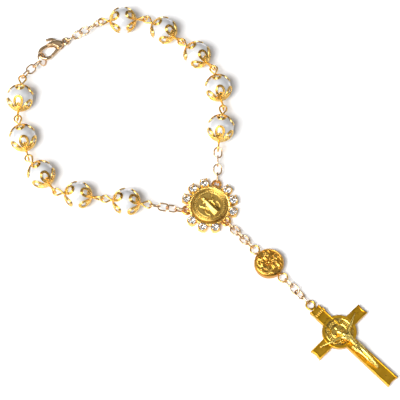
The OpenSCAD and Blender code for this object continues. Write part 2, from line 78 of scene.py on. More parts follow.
# Joints of the two strings from the medal to the clasp, as x, y and z, and the slack at each
RIGHT = [(6.537, 2.821, 1.454), (6.823, 12.807, 4), (8.475, 27.001, 4), (5.459, 40.765, 4),
         (-4.758, 50.174, 4), (-16.209, 58.384, 4), (-30.408, 57.301, 4), (-41.247, 51.93, 1.211),
         (-48.29, 46.153, 0.953)]
RIGHT_PLAY = [0, 0.5, 0.8, 0.9, 1.2, 0.5, 0.9, 0.25, 0]
LEFT = [(-3.61, -6.641, 1.454), (-13.819, -5.744, 4), (-28.612, -3.659, 4), (-43.17, -1.347, 4),
        (-51.736, 10.028, 4), (-55.573, 23.43, 4), (-54.567, 37.735, 4), (-49.503, 43.556, 3.081),
        (-48.29, 46.153, 0.953)]
LEFT_PLAY = [0, 0, 0, 0.4, 1, 1, 0.2, 0.1, 0]
PENDANT = [(9.658, -10.697, 1.454), (17.144, -18.725, 1.8), (26.897, -29.184, 1.8),
           (33.608, -36.381, 1.454)]

# Links: outer length and width, wire, and the place, half length and thinness of the seam
LINK_L = 3.7
LINK_W = 2.85
LINK_D = 0.5
SEAM_X = 0.05
SEAM_HALF = 0.07
SEAM_SHARE = 0.86

# Chains: node, its two joints, the roll of each link in degrees, and the slack at both joints
CHAINS = [("chain_right", RIGHT[0], RIGHT[1], [90, 0, 90, 0], RIGHT_PLAY[0:2]),
          ("chain_left", LEFT[0], LEFT[1], [90, 15, -45, 60], LEFT_PLAY[0:2]),
          ("chain_clasp", RIGHT[6], RIGHT[7], [-75, 50, -5, -60, 60], RIGHT_PLAY[6:8]),
          ("chain_end", LEFT[6], LEFT[7], [90, 20, -50], LEFT_PLAY[6:8]),
          ("chain_pendant_upper", PENDANT[0], PENDANT[1], [90, 0, 90, 0, 90], (0, 0)),
          ("chain_pendant_lower", PENDANT[2], PENDANT[3], [80, 30, -30, -85], (0, 0))]

# Medal centre, and around it the frame with its cups for stones and its connector rings
MEDAL_AT = (4.195, -4.839, 0)
MEDAL_TURN = -47
COIN_R = 5.5
FIELD_Z = 1.85
FRAME_IN = 5.56
FRAME_OUT = 6.6
FRAME_H = 1.9
FRAME_EDGE = 0.22
SETTING_R = 7.4
PLACES = 12
STONE_R = 1.15
STONE_TURN = 23
CUP_R = 1.41
CUP_H = 1.95
RINGS = 3
RING_R = 1.2
RING_WIRE = 0.4
RING_PLACE = 7.24
RING_Z = 1.4535

# Flower disc and the pin through it, whose eyes have a small opening in degrees
DISC_R = 4.5
DISC_FIELD = 1.3
DISC_EYE_R = 1.35
DISC_EYE_X = 6.11
DISC_EYE_OPENING = 12

# Crucifix: the cross, the round medal behind its crossing, and its ring
CROSSING = (42.581, -45.354, 0)
CROSS_TURN = -45
CROSS_UP = 10.3
CROSS_DOWN = 21.7
CROSS_SIDE = 10.3
CROSS_W = 3.6
CROSS_T = 2.0
CROSS_DIP = 0.35
CROSS_RIM = 0.42
CROSS_FIELD = 0.25
HALO_R = 5.15
HALO_BAND = 4.25
HALO_BACK = 0.3
TITLE_X = -0.79 * CROSS_UP
TITLE_HALF = 1.9
CROSS_RING_R = 1.3
CROSS_RING_X = 11.75
CROSS_RING_WIRE = 0.33
FIGURE_BED = CROSS_T - CROSS_FIELD + GAP
FIGURE_Z = CROSS_T + 0.75

# Clasp, measured along its own axis from the tail ring
TAIL_AT = (-41.684, 51.633, 1.3)
CLASP_TURN = -145.759
TAIL_R = 0.95
TAIL_WIRE = 0.4
BAR_R = 0.56
HOOK_R = 1.99
HOOK_X = 7.4
PIVOT = (2.516, 0.2)
CLASP_HALF = 1.3
SLOT_HALF = 0.442
LEVER_HALF = 0.362
JUMP_R = 2.07
JUMP_WIRE = 0.23
JUMP_ROLL = 50
JUMP_TURN = 75
JUMP_OPENING = 8

# Camera, in the photograph's place: its rise above the table in degrees, its distance in metres
IMAGE_W = 400
PIXELS_PER_MM = 3.25
CAMERA_AIM = (1.225, -2.499, 0)
CAMERA_RISE = 68
CAMERA_DISTANCE = 0.5
SENSOR = 36

# Lights, all aimed at the origin: name, place and size in metres, power in watts
SOFTBOXES = [("key", (-0.55, -0.42, 0.5), (0.8, 0.8), 7.5),
             ("top", (-0.24, -0.34, 0.72), (0.4, 0.28), 6),
             ("side", (0.6, 0.1, 0.4), (0.1, 0.5), 0.4)]

# Brightness of the studio from the horizon, 0, to straight above, 1, and its tint toward blue
SKY = [(0.0, 0.3), (0.08, 0.05), (0.55, 0.05), (0.8, 0.36), (0.9, 0.5), (1.0, 0.42)]
SKY_BLUE = 1.03
FLOOR_HALF = 4


# Placing

def shift(x, y, z):
    m = np.eye(4)
    m[:3, 3] = x, y, z
    return m


def turn(axis, degrees):
    c, s = math.cos(math.radians(degrees)), math.sin(math.radians(degrees))
    i, j = {"X": (1, 2), "Y": (2, 0), "Z": (0, 1)}[axis]
    m = np.eye(4)
    m[i, i] = m[j, j] = c
    m[i, j], m[j, i] = -s, s
    return m


def along(p, q, roll=0):
    """Frame on the middle of the line from p to q, X along it."""
    p, q = np.array(p, float), np.array(q, float)
    v = q - p
    rise = math.degrees(math.asin(v[2] / np.linalg.norm(v)))
    heading = math.degrees(math.atan2(v[1], v[0]))
    return shift(*(p + q) / 2) @ turn("Z", heading) @ turn("Y", -rise) @ turn("X", roll)


def at_bead(i):
    """Place of pearl i, which shares the slack of a joint with its neighbour."""
    right = i <= RIGHT_BEADS
    n = RIGHT_BEADS + 1 - i if right else i - RIGHT_BEADS
    joints, play = (RIGHT, RIGHT_PLAY) if right else (LEFT, LEFT_PLAY)
    return along(joints[n], joints[n + 1]) @ shift((play[n + 1] - play[n]) / 4, 0, 0)


MIRROR_X = np.diag([-1.0, 1, 1, 1])
AT_MEDAL = shift(*MEDAL_AT) @ turn("Z", MEDAL_TURN)
AT_CROSS = shift(*CROSSING) @ turn("Z", CROSS_TURN)
AT_DISC = along(PENDANT[1], PENDANT[2])
AT_CLASP = shift(*TAIL_AT) @ turn("Z", CLASP_TURN)


# Meshes

class Form:
    """Points and faces of one piece, with a material number for each face."""

    def __init__(self):
        self.points, self.faces, self.numbers, self.count = [], [], [], 0

    def add(self, shape, place=None, number=0):
        points, faces = shape
        points = np.asarray(points, float)
        if place is not None:
            points = points @ place[:3, :3].T + place[:3, 3]
        self.points.append(points)
        self.faces += [tuple(k + self.count for k in face) for face in faces]
        self.numbers += [number] * len(faces)
        self.count += len(points)

    def shape(self):
        return np.concatenate(self.points), self.faces

    def placed(self, place):
        """Copy in another place, with the same material numbers."""
        moved = form_of(self.shape(), place)
        moved.numbers = list(self.numbers)
        return moved

    def mesh(self, name):
        mesh = bpy.data.meshes.new(name)
        mesh.from_pydata((np.concatenate(self.points) * MM).tolist(), [], self.faces)
        mesh.polygons.foreach_set("material_index", self.numbers)
        bm = bmesh.new()
        bm.from_mesh(mesh)
        bmesh.ops.remove_doubles(bm, verts=bm.verts, dist=WELD * MM)
        bmesh.ops.recalc_face_normals(bm, faces=bm.faces)
        bm.to_mesh(mesh)
        bm.free()
        return mesh


def form_of(shape, place):
    form = Form()
    form.add(shape, place)
    return form


def piece(name, form, materials, node, body=BODY, smooth=38):
    """Object in place of a node, smooth but for edges that bend by more than so many degrees."""
    mesh = form.mesh(name)
    for material in materials:
        mesh.materials.append(material)
    mesh.shade_smooth()
    mesh.set_sharp_from_angle(angle=math.radians(smooth))
    obj = bpy.data.objects.new(name, mesh)
    bpy.context.collection.objects.link(obj)
    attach(obj, body)
    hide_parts(node)


def arc(r, a):
    return np.stack([r * np.cos(a), r * np.sin(a), np.zeros(len(a))], 1)


def circle(r, steps):
    return arc(r, TAU * np.arange(steps) / steps)


def open_circle(r, steps, middle, opening):
    """Circle with an opening, whose middle and width are in degrees."""
    start, span = math.radians(middle + opening / 2), math.radians(360 - opening)
    return arc(r, start + span * np.arange(steps) / (steps - 1))


def round_section(r, sides):
    a = TAU * np.arange(sides) / sides
    return np.stack([r * np.cos(a), r * np.sin(a)], 1)


def walls(rows, steps, closed=False):
    """Faces between neighbouring rows of points, each row a ring of so many steps."""
    faces = []
    for i in range(rows if closed else rows - 1):
        a, b = i * steps, (i + 1) % rows * steps
        faces += [(a + j, a + (j + 1) % steps, b + (j + 1) % steps, b + j) for j in range(steps)]
    return faces


def ends(rows, steps):
    """First and last ring of points, each as one face."""
    return [tuple(range(steps)), tuple(range((rows - 1) * steps, rows * steps))]


def sweep(path, section, up=(0, 0, 1), closed=False, scale=None):
    """Carries a section, in across and up, along a path, with one scale or two at each point."""
    path = np.asarray(path, float)
    n, m = len(path), len(section)
    if closed:
        tangent = np.roll(path, -1, 0) - np.roll(path, 1, 0)
    else:
        tangent = np.gradient(path, axis=0)
    tangent /= np.linalg.norm(tangent, axis=1)[:, None]
    up = np.broadcast_to(np.asarray(up, float), path.shape)
    up = up - (up * tangent).sum(1)[:, None] * tangent
    up = up / np.linalg.norm(up, axis=1)[:, None]
    across = np.cross(tangent, up)
    if scale is None:
        scale = np.ones((n, 1))
    sized = section * np.broadcast_to(scale, (n, 2))[:, None]
    points = path[:, None] + sized[..., :1] * across[:, None] + sized[..., 1:] * up[:, None]
    faces = walls(n, m, closed)
    if not closed:
        faces += ends(n, m)
    return points.reshape(-1, 3), faces


def spin(profile, steps, closed=False):
    """Turns a profile of radius and height about Z."""
    profile = np.asarray(profile, float)
    a = TAU * np.arange(steps) / steps
    points = np.stack([profile[:, :1] * np.cos(a), profile[:, :1] * np.sin(a),
                       np.repeat(profile[:, 1:], steps, 1)], 2)
    return points.reshape(-1, 3), walls(len(profile), steps, closed)


def rings(levels, steps):
    """Form from rings of a radius and a height, which may be a function of x and y."""
    a = TAU * np.arange(steps) / steps
    points = []
    for r, height in levels:
        x, y = r * np.cos(a), r * np.sin(a)
        z = height(x, y) if callable(height) else np.full(steps, float(height))
        points.append(np.stack([x, y, z], 1))
    return np.concatenate(points), walls(len(levels), steps)


def slab(outlines):
    """Closed form from outlines of equal count, each with its height, capped at both ends."""
    n, m = len(outlines), len(outlines[0][0])
    points = [np.column_stack([np.asarray(outline, float), np.full(m, z)]) for outline, z in outlines]
    return np.concatenate(points), walls(n, m) + ends(n, m)


def ball(r, steps):
    a = np.linspace(0, math.pi, steps // 2 + 1)
    return spin(np.stack([r * np.sin(a), -r * np.cos(a)], 1), steps)


def rectangle(x0, x1, y0, y1):
    return [(x0, y0), (x1, y0), (x1, y1), (x0, y1)]


def smooth_outline(points, repeats=3):
    """Rounds a closed outline by cutting its corners."""
    points = np.asarray(points, float)
    for _ in range(repeats):
        ahead = np.roll(points, -1, 0)
        points = np.stack([0.75 * points + 0.25 * ahead, 0.25 * points + 0.75 * ahead], 1).reshape(-1, 2)
    return points


def rounded_slab(outline, low, high, edge):
    """Outline raised between two heights with its edges rounded."""
    outline = np.asarray(outline, float)
    middle = outline.mean(0)
    reach = np.linalg.norm(outline - middle, axis=1)[:, None]

    def level(t, z):
        return middle + (outline - middle) * (1 - edge * (1 - math.sin(t)) / reach), z

    levels = [level(t, low + edge * (1 - math.cos(t))) for t in np.linspace(0, math.pi / 2, 5)]
    levels += [level(t, high - edge * (1 + math.cos(t))) for t in np.linspace(math.pi / 2, math.pi, 5)]
    return slab(levels)


def domed_slab(outline, low, high, crown):
    """Outline with a flat face at one height that rises in a dome to the other, inset by a share."""
    outline = np.asarray(outline, float)
    middle = outline.mean(0)
    levels = []
    for t in np.linspace(0, math.pi / 2, 9):
        inset = middle + (outline - middle) * (1 - crown * (1 - math.cos(t)))
        levels.append((inset, low + (high - low) * math.sin(t)))
    return slab(levels)


# Relief

def share(x, y, p, q, rp, rq):
    """Distance from the line p to q, as a share of the half width there."""
    px, py, qx, qy = *p, *q
    length = (qx - px) ** 2 + (qy - py) ** 2 or 1e-9
    t = np.clip(((x - px) * (qx - px) + (y - py) * (qy - py)) / length, 0, 1)
    return np.hypot(x - px - t * (qx - px), y - py - t * (qy - py)) / (rp + (rq - rp) * t)


def bump(x, y, p, q, rp, rq, height):
    """Rounded ridge from p to q, with its own half width at each end."""
    return height * np.sqrt(np.maximum(0, 1 - share(x, y, p, q, rp, rq) ** 2))


def roof(x, y, p, q, rp, rq, height):
    """Ridge from p to q with two flat slopes and a narrow flat top."""
    return height * np.minimum(1, 1.12 * np.maximum(0, 1 - share(x, y, p, q, rp, rq)))


def annulus(r, middle, width, height):
    return height * np.sqrt(np.maximum(0, 1 - ((r - middle) / (width / 2)) ** 2))


def bead_ring(x, y, r, count, bead, height, start=0.0):
    """Ring of radius r of so many round beads."""
    a = np.arctan2(y, x) - start
    step = TAU / count
    near = np.round(a / step) * step + start
    away = (x - r * np.cos(near)) ** 2 + (y - r * np.sin(near)) ** 2
    return height * np.sqrt(np.maximum(0, 1 - away / bead ** 2))


# Materials

class Nodes:
    """Short form for building one material's nodes."""

    def __init__(self, name):
        self.material = bpy.data.materials.new(name)
        self.material.use_nodes = True
        self.tree = self.material.node_tree
        self.shader = self.tree.nodes["Principled BSDF"]
        self.place = self.node("ShaderNodeTexCoord").outputs["Object"]

    def node(self, kind, inputs=None, **values):
        node = self.tree.nodes.new(kind)
        for key, value in values.items():
            setattr(node, key, value)
        for socket, value in (inputs or {}).items():
            node.inputs[socket].default_value = value
        return node

    def link(self, a, b):
        self.tree.links.new(a, b)

    def set(self, **values):
        for key, value in values.items():
            self.shader.inputs[key.replace("_", " ")].default_value = value

    def feed(self, socket, value):
        self.link(value, self.shader.inputs[socket])

    def noise(self, size, detail=3.0):
        """Noise with clouds of about a size in millimetres."""
        node = self.node("ShaderNodeTexNoise", {"Scale": 1 / (size * MM), "Detail": detail})
        self.link(self.place, node.inputs["Vector"])
        return node.outputs["Fac"]

    def ramp(self, value, stops):
        node = self.node("ShaderNodeValToRGB")
        elements = node.color_ramp.elements
        while len(elements) < len(stops):
            elements.new(0.5)
        for element, (place, color) in zip(elements, stops):
            element.position = place
            element.color = (*color, 1)
        self.link(value, node.inputs["Fac"])
        return node.outputs["Color"]

    def spread(self, value, low, high, from_low=0.3, from_high=0.7):
        node = self.node("ShaderNodeMapRange", {"From Min": from_low, "From Max": from_high,
                                                "To Min": low, "To Max": high})
        self.link(value, node.inputs["Value"])
        return node.outputs["Result"]

    def multiply(self, a, b):
        node = self.node("ShaderNodeMix", {"Factor": 1.0}, data_type="RGBA", blend_type="MULTIPLY")
        self.link(a, node.inputs["A"])
        self.link(b, node.inputs["B"])
        return node.outputs["Result"]

    def bump(self, value, depth, strength):
        node = self.node("ShaderNodeBump", {"Distance": depth * MM, "Strength": strength})
        self.link(value, node.inputs["Height"])
        self.feed("Normal", node.outputs["Normal"])


def gray(v):
    return (v, v, v)


def plated_metal(name, low, high, rough, recess_shade, grain=0.25, depth=0.006, patina=None):
    """Plated metal with cloudy colour, a faintly pitted skin, painted shade in its concave creases that also
    stands for an antique tone, and darker low parts.
    """
    n = Nodes(name)
    n.set(Metallic=1.0)
    cloud = n.ramp(n.noise(2.2, detail=4), [(0.35, low), (0.65, high)])
    # Painted shade: concave creases, found by pointiness, are darkened like ambient occlusion, partly also
    # as an antique tone; convex edges stay full bright
    crease_shade = n.ramp(n.node("ShaderNodeNewGeometry").outputs["Pointiness"],
                  [(0.42, gray(recess_shade)), (0.5, gray(0.97)), (0.58, gray(1.0))])
    color = n.multiply(cloud, crease_shade)
    if patina:
        bottom, top, shade = patina
        parts = n.node("ShaderNodeSeparateXYZ")
        n.link(n.place, parts.inputs["Vector"])
        height = n.spread(parts.outputs["Z"], 0, 1, bottom * MM, top * MM)
        color = n.multiply(color, n.ramp(height, [(0, shade), (1, gray(1))]))
    n.feed("Base Color", color)
    n.feed("Roughness", n.spread(n.noise(0.8), rough * 0.75, rough * 1.35))
    n.bump(n.noise(grain, detail=2), depth, strength=0.5)
    return n.material


def pearl_coat():
    """Soft white with a painted sheen that turns cooler and then warmer toward the edge, under a clear coat.
    """
    n = Nodes("pearl_coat")
    n.set(IOR=1.7, Coat_Weight=1.0, Coat_Roughness=0.1, Coat_IOR=1.75)
    cloud = n.ramp(n.noise(3.5), [(0.35, (0.57, 0.57, 0.575)), (0.65, gray(0.63))])
    # Painted sheen: the base colour turns cooler and then warmer where the surface turns away from the view
    facing = n.node("ShaderNodeLayerWeight", {"Blend": 0.35})
    painted_sheen = n.ramp(facing.outputs["Facing"],
                   [(0, gray(1)), (0.6, (0.94, 0.95, 0.98)), (1, (0.98, 0.95, 0.92))])
    n.feed("Base Color", n.multiply(cloud, painted_sheen))
    n.feed("Roughness", n.spread(n.noise(1.5, detail=2), 0.16, 0.26))
    n.bump(n.noise(0.6), depth=0.004, strength=0.4)
    return n.material


def crystal_glass():
    n = Nodes("crystal_glass")
    n.set(Roughness=0.02, IOR=1.58, Transmission_Weight=1.0)
    n.feed("Base Color", n.ramp(n.noise(1.0), [(0.3, (0.97, 0.98, 1)), (0.7, gray(1))]))
    return n.material


def foil_back():
    n = Nodes("foil_back")
    n.set(Metallic=1.0)
    n.feed("Base Color", n.ramp(n.noise(0.7), [(0.3, gray(0.82)), (0.7, gray(0.97))]))
    n.feed("Roughness", n.spread(n.noise(0.4), 0.05, 0.16))
    return n.material


GOLD_WARM = plated_metal("gold_warm", (0.85, 0.51, 0.11), (0.93, 0.63, 0.2), rough=0.2, recess_shade=0.45)
GOLD_ORANGE = plated_metal("gold_orange", (0.84, 0.4, 0.08), (0.92, 0.5, 0.14), rough=0.2, recess_shade=0.5)
GOLD_PALE = plated_metal("gold_pale", (0.62, 0.41, 0.22), (0.8, 0.57, 0.34), rough=0.14, recess_shade=0.6)
GOLD_MEDAL = plated_metal("gold_medal", (0.78, 0.53, 0.13), (0.88, 0.64, 0.19), rough=0.3, recess_shade=0.85,
                          patina=(1.7, 2.1, (0.74, 0.62, 0.4)))
GOLD_DISC = plated_metal("gold_disc", (0.84, 0.49, 0.08), (0.93, 0.6, 0.14), rough=0.3, recess_shade=0.85,
                         patina=(3.05, 3.4, (0.58, 0.44, 0.26)))
GOLD_CAST = plated_metal("gold_cast", (0.84, 0.6, 0.12), (0.92, 0.7, 0.19), rough=0.26, recess_shade=0.6,
                         patina=(1.65, 2.3, (0.66, 0.54, 0.34)))
GOLD_SATIN = plated_metal("gold_satin", (0.57, 0.3, 0.014), (0.67, 0.37, 0.025), rough=0.34, recess_shade=0.85,
                          grain=0.12, depth=0.008)
PEARL = pearl_coat()
CRYSTAL = crystal_glass()
FOIL = foil_back()


# Beads

def pearl_shape():
    """Drilled pearl, very slightly out of round."""
    start = math.asin(BORE_R / PEARL_R)
    a = np.linspace(start, math.pi - start, 41)
    outer = [(PEARL_R * math.sin(t), PEARL_R * math.cos(t)) for t in a]
    inner = [(BORE_R * 0.9, outer[-1][1] + 0.15), (BORE_R * 0.9, outer[0][1] - 0.15)]
    points, faces = spin(outer + inner, 60, closed=True)
    wobble = 1 + 0.0022 * np.sin(points[:, 0] * 1.1) * np.cos(points[:, 1] * 0.9 + points[:, 2] * 0.7)
    return points * wobble[:, None], faces


def petal_width(t, inset):
    """Distance of a petal's edge from its middle line, at an angle from its narrow tip."""
    return (PETAL_B - inset) * np.sin(t) * (1 - PETAL_TAPER * np.cos(t))


def petal_path(inset, steps):
    t = TAU * np.arange(steps) / steps
    return (PETAL_A - inset) * np.cos(t), petal_width(t, inset)


def on_cap(x, y, r, k):
    """Points and upward directions on the cap's sphere, in the place of petal number k."""
    z = np.sqrt(r * r - x * x - y * y)
    m = turn("X", 360 / PETALS * k) @ turn("Y", PETAL_TILT)
    points = np.stack([x, y, z], 1) @ m[:3, :3].T
    return points, points / r


# Depth under the cap's outer sphere of the rim's, the horseshoe's and the beads' middles
RIM_SINK = 0.15
SHOE_SINK = 0.12
BEAD_SINK = 0.14

# Double rim of a petal: its section in across and up, inset, steps, and the swell of its rope
RIM_SECTION = np.array([(-0.28, -0.1), (-0.28, 0.05), (-0.22, 0.14), (-0.14, 0.16), (-0.06, 0.1), (0, 0.03),
                        (0.06, 0.1), (0.14, 0.16), (0.22, 0.14), (0.28, 0.05), (0.28, -0.1), (0, -0.14)])
RIM_INSET = 0.25
RIM_STEPS = 96
ROPE_SWELL = 0.13

# Horseshoe of wire inside a petal, how close the scales of its plate lie, and its beads as
# along, across and radius
SHOE_INSET = 0.62
SHOE_R = 0.14
SCALE_RATE = 7
PETAL_BEADS = [(0.1, 0, 0.24), (0.42, -0.42, 0.15), (0.42, 0.42, 0.15)]

# Hub around the pin as radius and height, and its rows of beads as count, tilt in degrees and radius
HUB = [(0.34, 4.06), (0.34, 4.38), (0.5, 4.41), (0.6, 4.38), (0.66, 4.3), (0.8, 4.26), (1.0, 4.2),
       (1.3, 4.12), (1.6, 4.01), (1.85, 3.88), (1.92, 3.72), (1.6, 3.8), (1.3, 3.92), (0.8, 4.02)]
HUB_BEADS = [(10, 13.5, 0.17), (15, 19.5, 0.2), (20, 25.5, 0.19)]


def cap_form():
    """Pierced cap: five petals with a double rim, a horseshoe and beads, around a raised hub."""
    form = Form()
    rope = 1 + ROPE_SWELL * np.cos(math.pi * np.arange(RIM_STEPS))
    rope = np.stack([np.ones(RIM_STEPS), rope], 1)
    for k in range(PETALS):
        points, up = on_cap(*petal_path(RIM_INSET, RIM_STEPS), CAP_OUT - RIM_SINK, k)
        form.add(sweep(points, RIM_SECTION, up, closed=True, scale=rope))
        points, up = on_cap(*petal_path(SHOE_INSET, 48), CAP_OUT - SHOE_SINK, k)
        form.add(sweep(points, round_section(SHOE_R, 8), up, closed=True))
        for x, y, r in PETAL_BEADS:
            spot, _ = on_cap(np.array([x]), np.array([y]), CAP_OUT - BEAD_SINK, k)
            form.add(ball(r, 10), shift(*spot[0]))
        form.add(petal_plate(k))
    form.add(spin(HUB, 40, closed=True), turn("Y", 90))
    for count, tilt, r in HUB_BEADS:
        outward = turn("Y", 90 - tilt) @ shift(0, 0, CAP_OUT - BEAD_SINK)
        for k in range(count):
            form.add(ball(r, 8), turn("X", 360 / count * k) @ outward)
    return form


def petal_plate(k, steps=15):
    """Plate that fills the narrow half of a petal, chased with rows of scales."""
    x = np.linspace(0.2, 1.95, steps)
    half = petal_width(np.arccos(np.clip(x / (PETAL_A - 0.15), -1, 1)), 0.2)
    u, v = (grid.ravel() for grid in np.meshgrid(x, np.linspace(-1, 1, steps), indexing="ij"))
    w = v * np.repeat(half, steps)
    phase = SCALE_RATE * u
    row = np.floor(phase / math.pi)
    scales = np.abs(np.sin(phase)) * np.abs(np.cos(v * 5 + row * 1.57))
    top, _ = on_cap(u, w, CAP_OUT - BEAD_SINK, k)
    low, _ = on_cap(u, w, CAP_IN, k)
    top *= (0.992 + 0.03 * scales)[:, None]
    n, faces = steps * steps, []
    for i in range(steps - 1):
        for j in range(steps - 1):
            a = i * steps + j
            b = a + steps
            faces += [(a, a + 1, b + 1, b), (n + a, n + b, n + b + 1, n + a + 1)]
        a, b = i * steps, (i + 1) * steps
        c, d = a + steps - 1, b + steps - 1
        faces += [(a, b, n + b, n + a), (c, n + c, n + d, d)]
        e = (steps - 1) * steps + i
        faces += [(i, n + i, n + i + 1, i + 1), (e, e + 1, n + e + 1, n + e)]
    return np.concatenate([top, low]), faces


def wire_loop(foot, tip, r, steps=40):
    """Path of a drop-shaped loop from its foot, around its tip and back."""
    far = tip - r - foot
    lean = math.asin(r / far)
    side = math.sqrt(far * far - r * r)
    a = np.linspace(-math.pi / 2 - lean, math.pi / 2 + lean, steps)
    bend = arc(r, a) + (tip - r, 0, 0)
    run = np.linspace(0.12, 0.92, 6)[:, None] * side
    first = np.array([foot, 0, 0]) + run * np.array([math.cos(lean), -math.sin(lean), 0])
    last = np.array([foot, 0, 0]) + run[::-1] * np.array([math.cos(lean), math.sin(lean), 0])
    return np.concatenate([first, bend, last])


def wrap_coil(start):
    """Wire wound round the foot of an eye."""
    t = np.linspace(0, TAU * COIL_TURNS, int(24 * COIL_TURNS))
    path = np.stack([start + COIL_PITCH * t / TAU, COIL_R * np.cos(t), COIL_R * np.sin(t)], 1)
    return sweep(path, round_section(COIL_WIRE, 8), (1, 0, 0))


def eye_pin_form(second_roll):
    form = Form()
    shank = np.stack([np.linspace(-EYE_FOOT - 0.3, EYE_FOOT + 0.3, 12), np.zeros(12), np.zeros(12)], 1)
    form.add(sweep(shank, round_section(PIN_R, 12)))
    for place in (np.eye(4), turn("Z", 180) @ turn("X", second_roll)):
        form.add(sweep(wire_loop(EYE_FOOT, EYE_TIP, EYE_R), round_section(PIN_R, 14)), place)
        form.add(wrap_coil(CAP_OUT + GAP + 0.12), place)
    return form


def make_beads():
    pearl, cap = pearl_shape(), cap_form()
    for i in range(1, BEADS + 1):
        place = at_bead(i)
        bead = form_of(pearl, place @ turn("Y", 90) @ turn("Z", PEARL_TURN * i))
        piece("pearl_bead_%02d" % i, bead, [PEARL], "pearl_%02d" % i, smooth=50)
        for side, mirror in (("a", MIRROR_X), ("b", np.eye(4))):
            name, node = "filigree_cap_%02d%s" % (i, side), "cap_%02d%s" % (i, side)
            piece(name, cap.placed(place @ mirror), [GOLD_WARM], node, smooth=60)
        pin = eye_pin_form(0 if i == FLAT_PIN else 90).placed(place)
        piece("wire_pin_%02d" % i, pin, [GOLD_WARM], "eye_pin_%02d" % i, smooth=60)


# Chains

def link_shape():
    """Oval link of round wire, a little thinner where its two ends meet."""
    half, r = (LINK_L - LINK_W) / 2, (LINK_W - LINK_D) / 2
    bend = np.linspace(-math.pi / 2, math.pi / 2, 22)
    end = np.stack([half + r * np.cos(bend), r * np.sin(bend)], 1)
    corners = np.concatenate([end, -end])
    path = []
    for a, b in zip(corners, np.roll(corners, -1, 0)):
        pieces = 7 if np.linalg.norm(b - a) > 0.5 else 1
        path += [a + (b - a) * k / pieces for k in range(pieces)]
    path = np.column_stack([path, np.zeros(len(path))])
    at_seam = (np.abs(path[:, 0] - SEAM_X) < SEAM_HALF) & (path[:, 1] >= 0)
    scale = np.where(at_seam, SEAM_SHARE, 1.0)
    return sweep(path, round_section(LINK_D / 2, 14), closed=True, scale=scale[:, None])


def chain(name, p, q, rolls, play):
    """Run of links between two joints, at one pitch."""
    n = len(rolls)
    tips = np.linalg.norm(np.subtract(q, p)) + LINK_D + GAP + (play[0] + play[1]) / 2
    pitch = (tips - LINK_L + LINK_D) / (n - 1)
    start = (play[1] - play[0]) / 4 - pitch * (n - 1) / 2
    form = Form()
    for k, roll in enumerate(rolls):
        form.add(link_shape(), along(p, q, roll) @ shift(start + pitch * k, 0, 0))
    piece(name + "_links", form, [GOLD_PALE], name, smooth=60)


def make_chains():
    for row in CHAINS:
        chain(*row)


# Clasp

def clasp_body_form():
    """Tail ring, two cheeks joined by a web, and the bar that bends round to the hook's end."""
    x, y = PIVOT
    form = Form()
    form.add(sweep(circle(TAIL_R, 40), round_section(TAIL_WIRE, 14), closed=True))
    lead = [(x - 0.6, -0.9), (x, -1.35), (x + 0.7, -1.75), (x + 1.5, -1.94), (x + 2.4, -HOOK_R),
            (0.8 * HOOK_X, -HOOK_R), (0.93 * HOOK_X, -HOOK_R)]
    bend = [(HOOK_X + HOOK_R * math.cos(t), HOOK_R * math.sin(t))
            for t in np.linspace(-math.pi / 2, math.pi / 2, 26)]
    path = np.array(lead + bend + [(HOOK_X - 0.35, HOOK_R), (HOOK_X - 0.75, HOOK_R - 0.02)])
    path = np.column_stack([path, np.zeros(len(path))])
    # The bar is wide and tall between the cheeks and thins to its open end
    across, up = np.ones(len(path)), np.ones(len(path))
    across[:5] = 0.85, 0.95, 1.05, 1.05, 1.02
    up[:6] = 2.1, 2.1, 1.9, 1.55, 1.25, 1.08
    across[-1] = up[-1] = 0.72
    form.add(sweep(path, round_section(BAR_R, 20), scale=np.stack([across, up], 1)))
    cheek = smooth_outline([(0.9, -0.55), (0.9, 0.55), (x - 0.5, y + 1.2), (x + 0.8, y + 1.2),
                            (x + 1.3, 0.1), (x + 2.0, -1.15), (x + 3.5, -HOOK_R + 0.3),
                            (x + 3.4, -HOOK_R - 0.3), (x + 0.8, -HOOK_R - 0.35), (x - 0.6, -1.4)])
    for s in (1, -1):
        form.add(domed_slab(cheek, s * SLOT_HALF, s * (CLASP_HALF - 0.04), 0.5))
    web = smooth_outline([(0.95, -0.5), (0.95, 0.5), (1.5, 0.85), (1.5, -0.95)], 2)
    form.add(rounded_slab(web, -SLOT_HALF - 0.3, SLOT_HALF + 0.3, 0.1))
    return form


def lever_form():
    """Arm that closes the hook, and the thumb piece on the other side of the pivot."""
    x, y = PIVOT
    form = Form()
    arm = smooth_outline([(x - 0.75, y - 0.5), (x - 0.6, y + 0.85), (x + 0.6, y + 1.25), (6.0, HOOK_R + 0.3),
                          (6.5, HOOK_R + 0.2), (6.55, HOOK_R - 0.5), (5.6, HOOK_R - 0.65), (x + 1.2, 0.4),
                          (x + 0.5, y - 0.8)])
    form.add(rounded_slab(arm, -LEVER_HALF, LEVER_HALF, 0.16))
    thumb = smooth_outline([(x - 0.7, y + 0.2), (x + 0.5, y + 0.2), (x + 0.7, -HOOK_R - 0.7),
                            (x + 1.7, -HOOK_R - 1.35), (x + 2.7, -HOOK_R - 1.6), (x + 2.6, -HOOK_R - 2.05),
                            (x + 1.0, -HOOK_R - 1.85), (x - 0.1, -HOOK_R - 0.8)], 2)
    form.add(rounded_slab(thumb, -LEVER_HALF, LEVER_HALF, 0.12))
    return form


# Rivet of the clasp, as radius and height
RIVET = [(0, -1.25), (0.22, -1.25), (0.3, -1.17), (0.3, 1.17), (0.22, 1.25), (0, 1.25)]


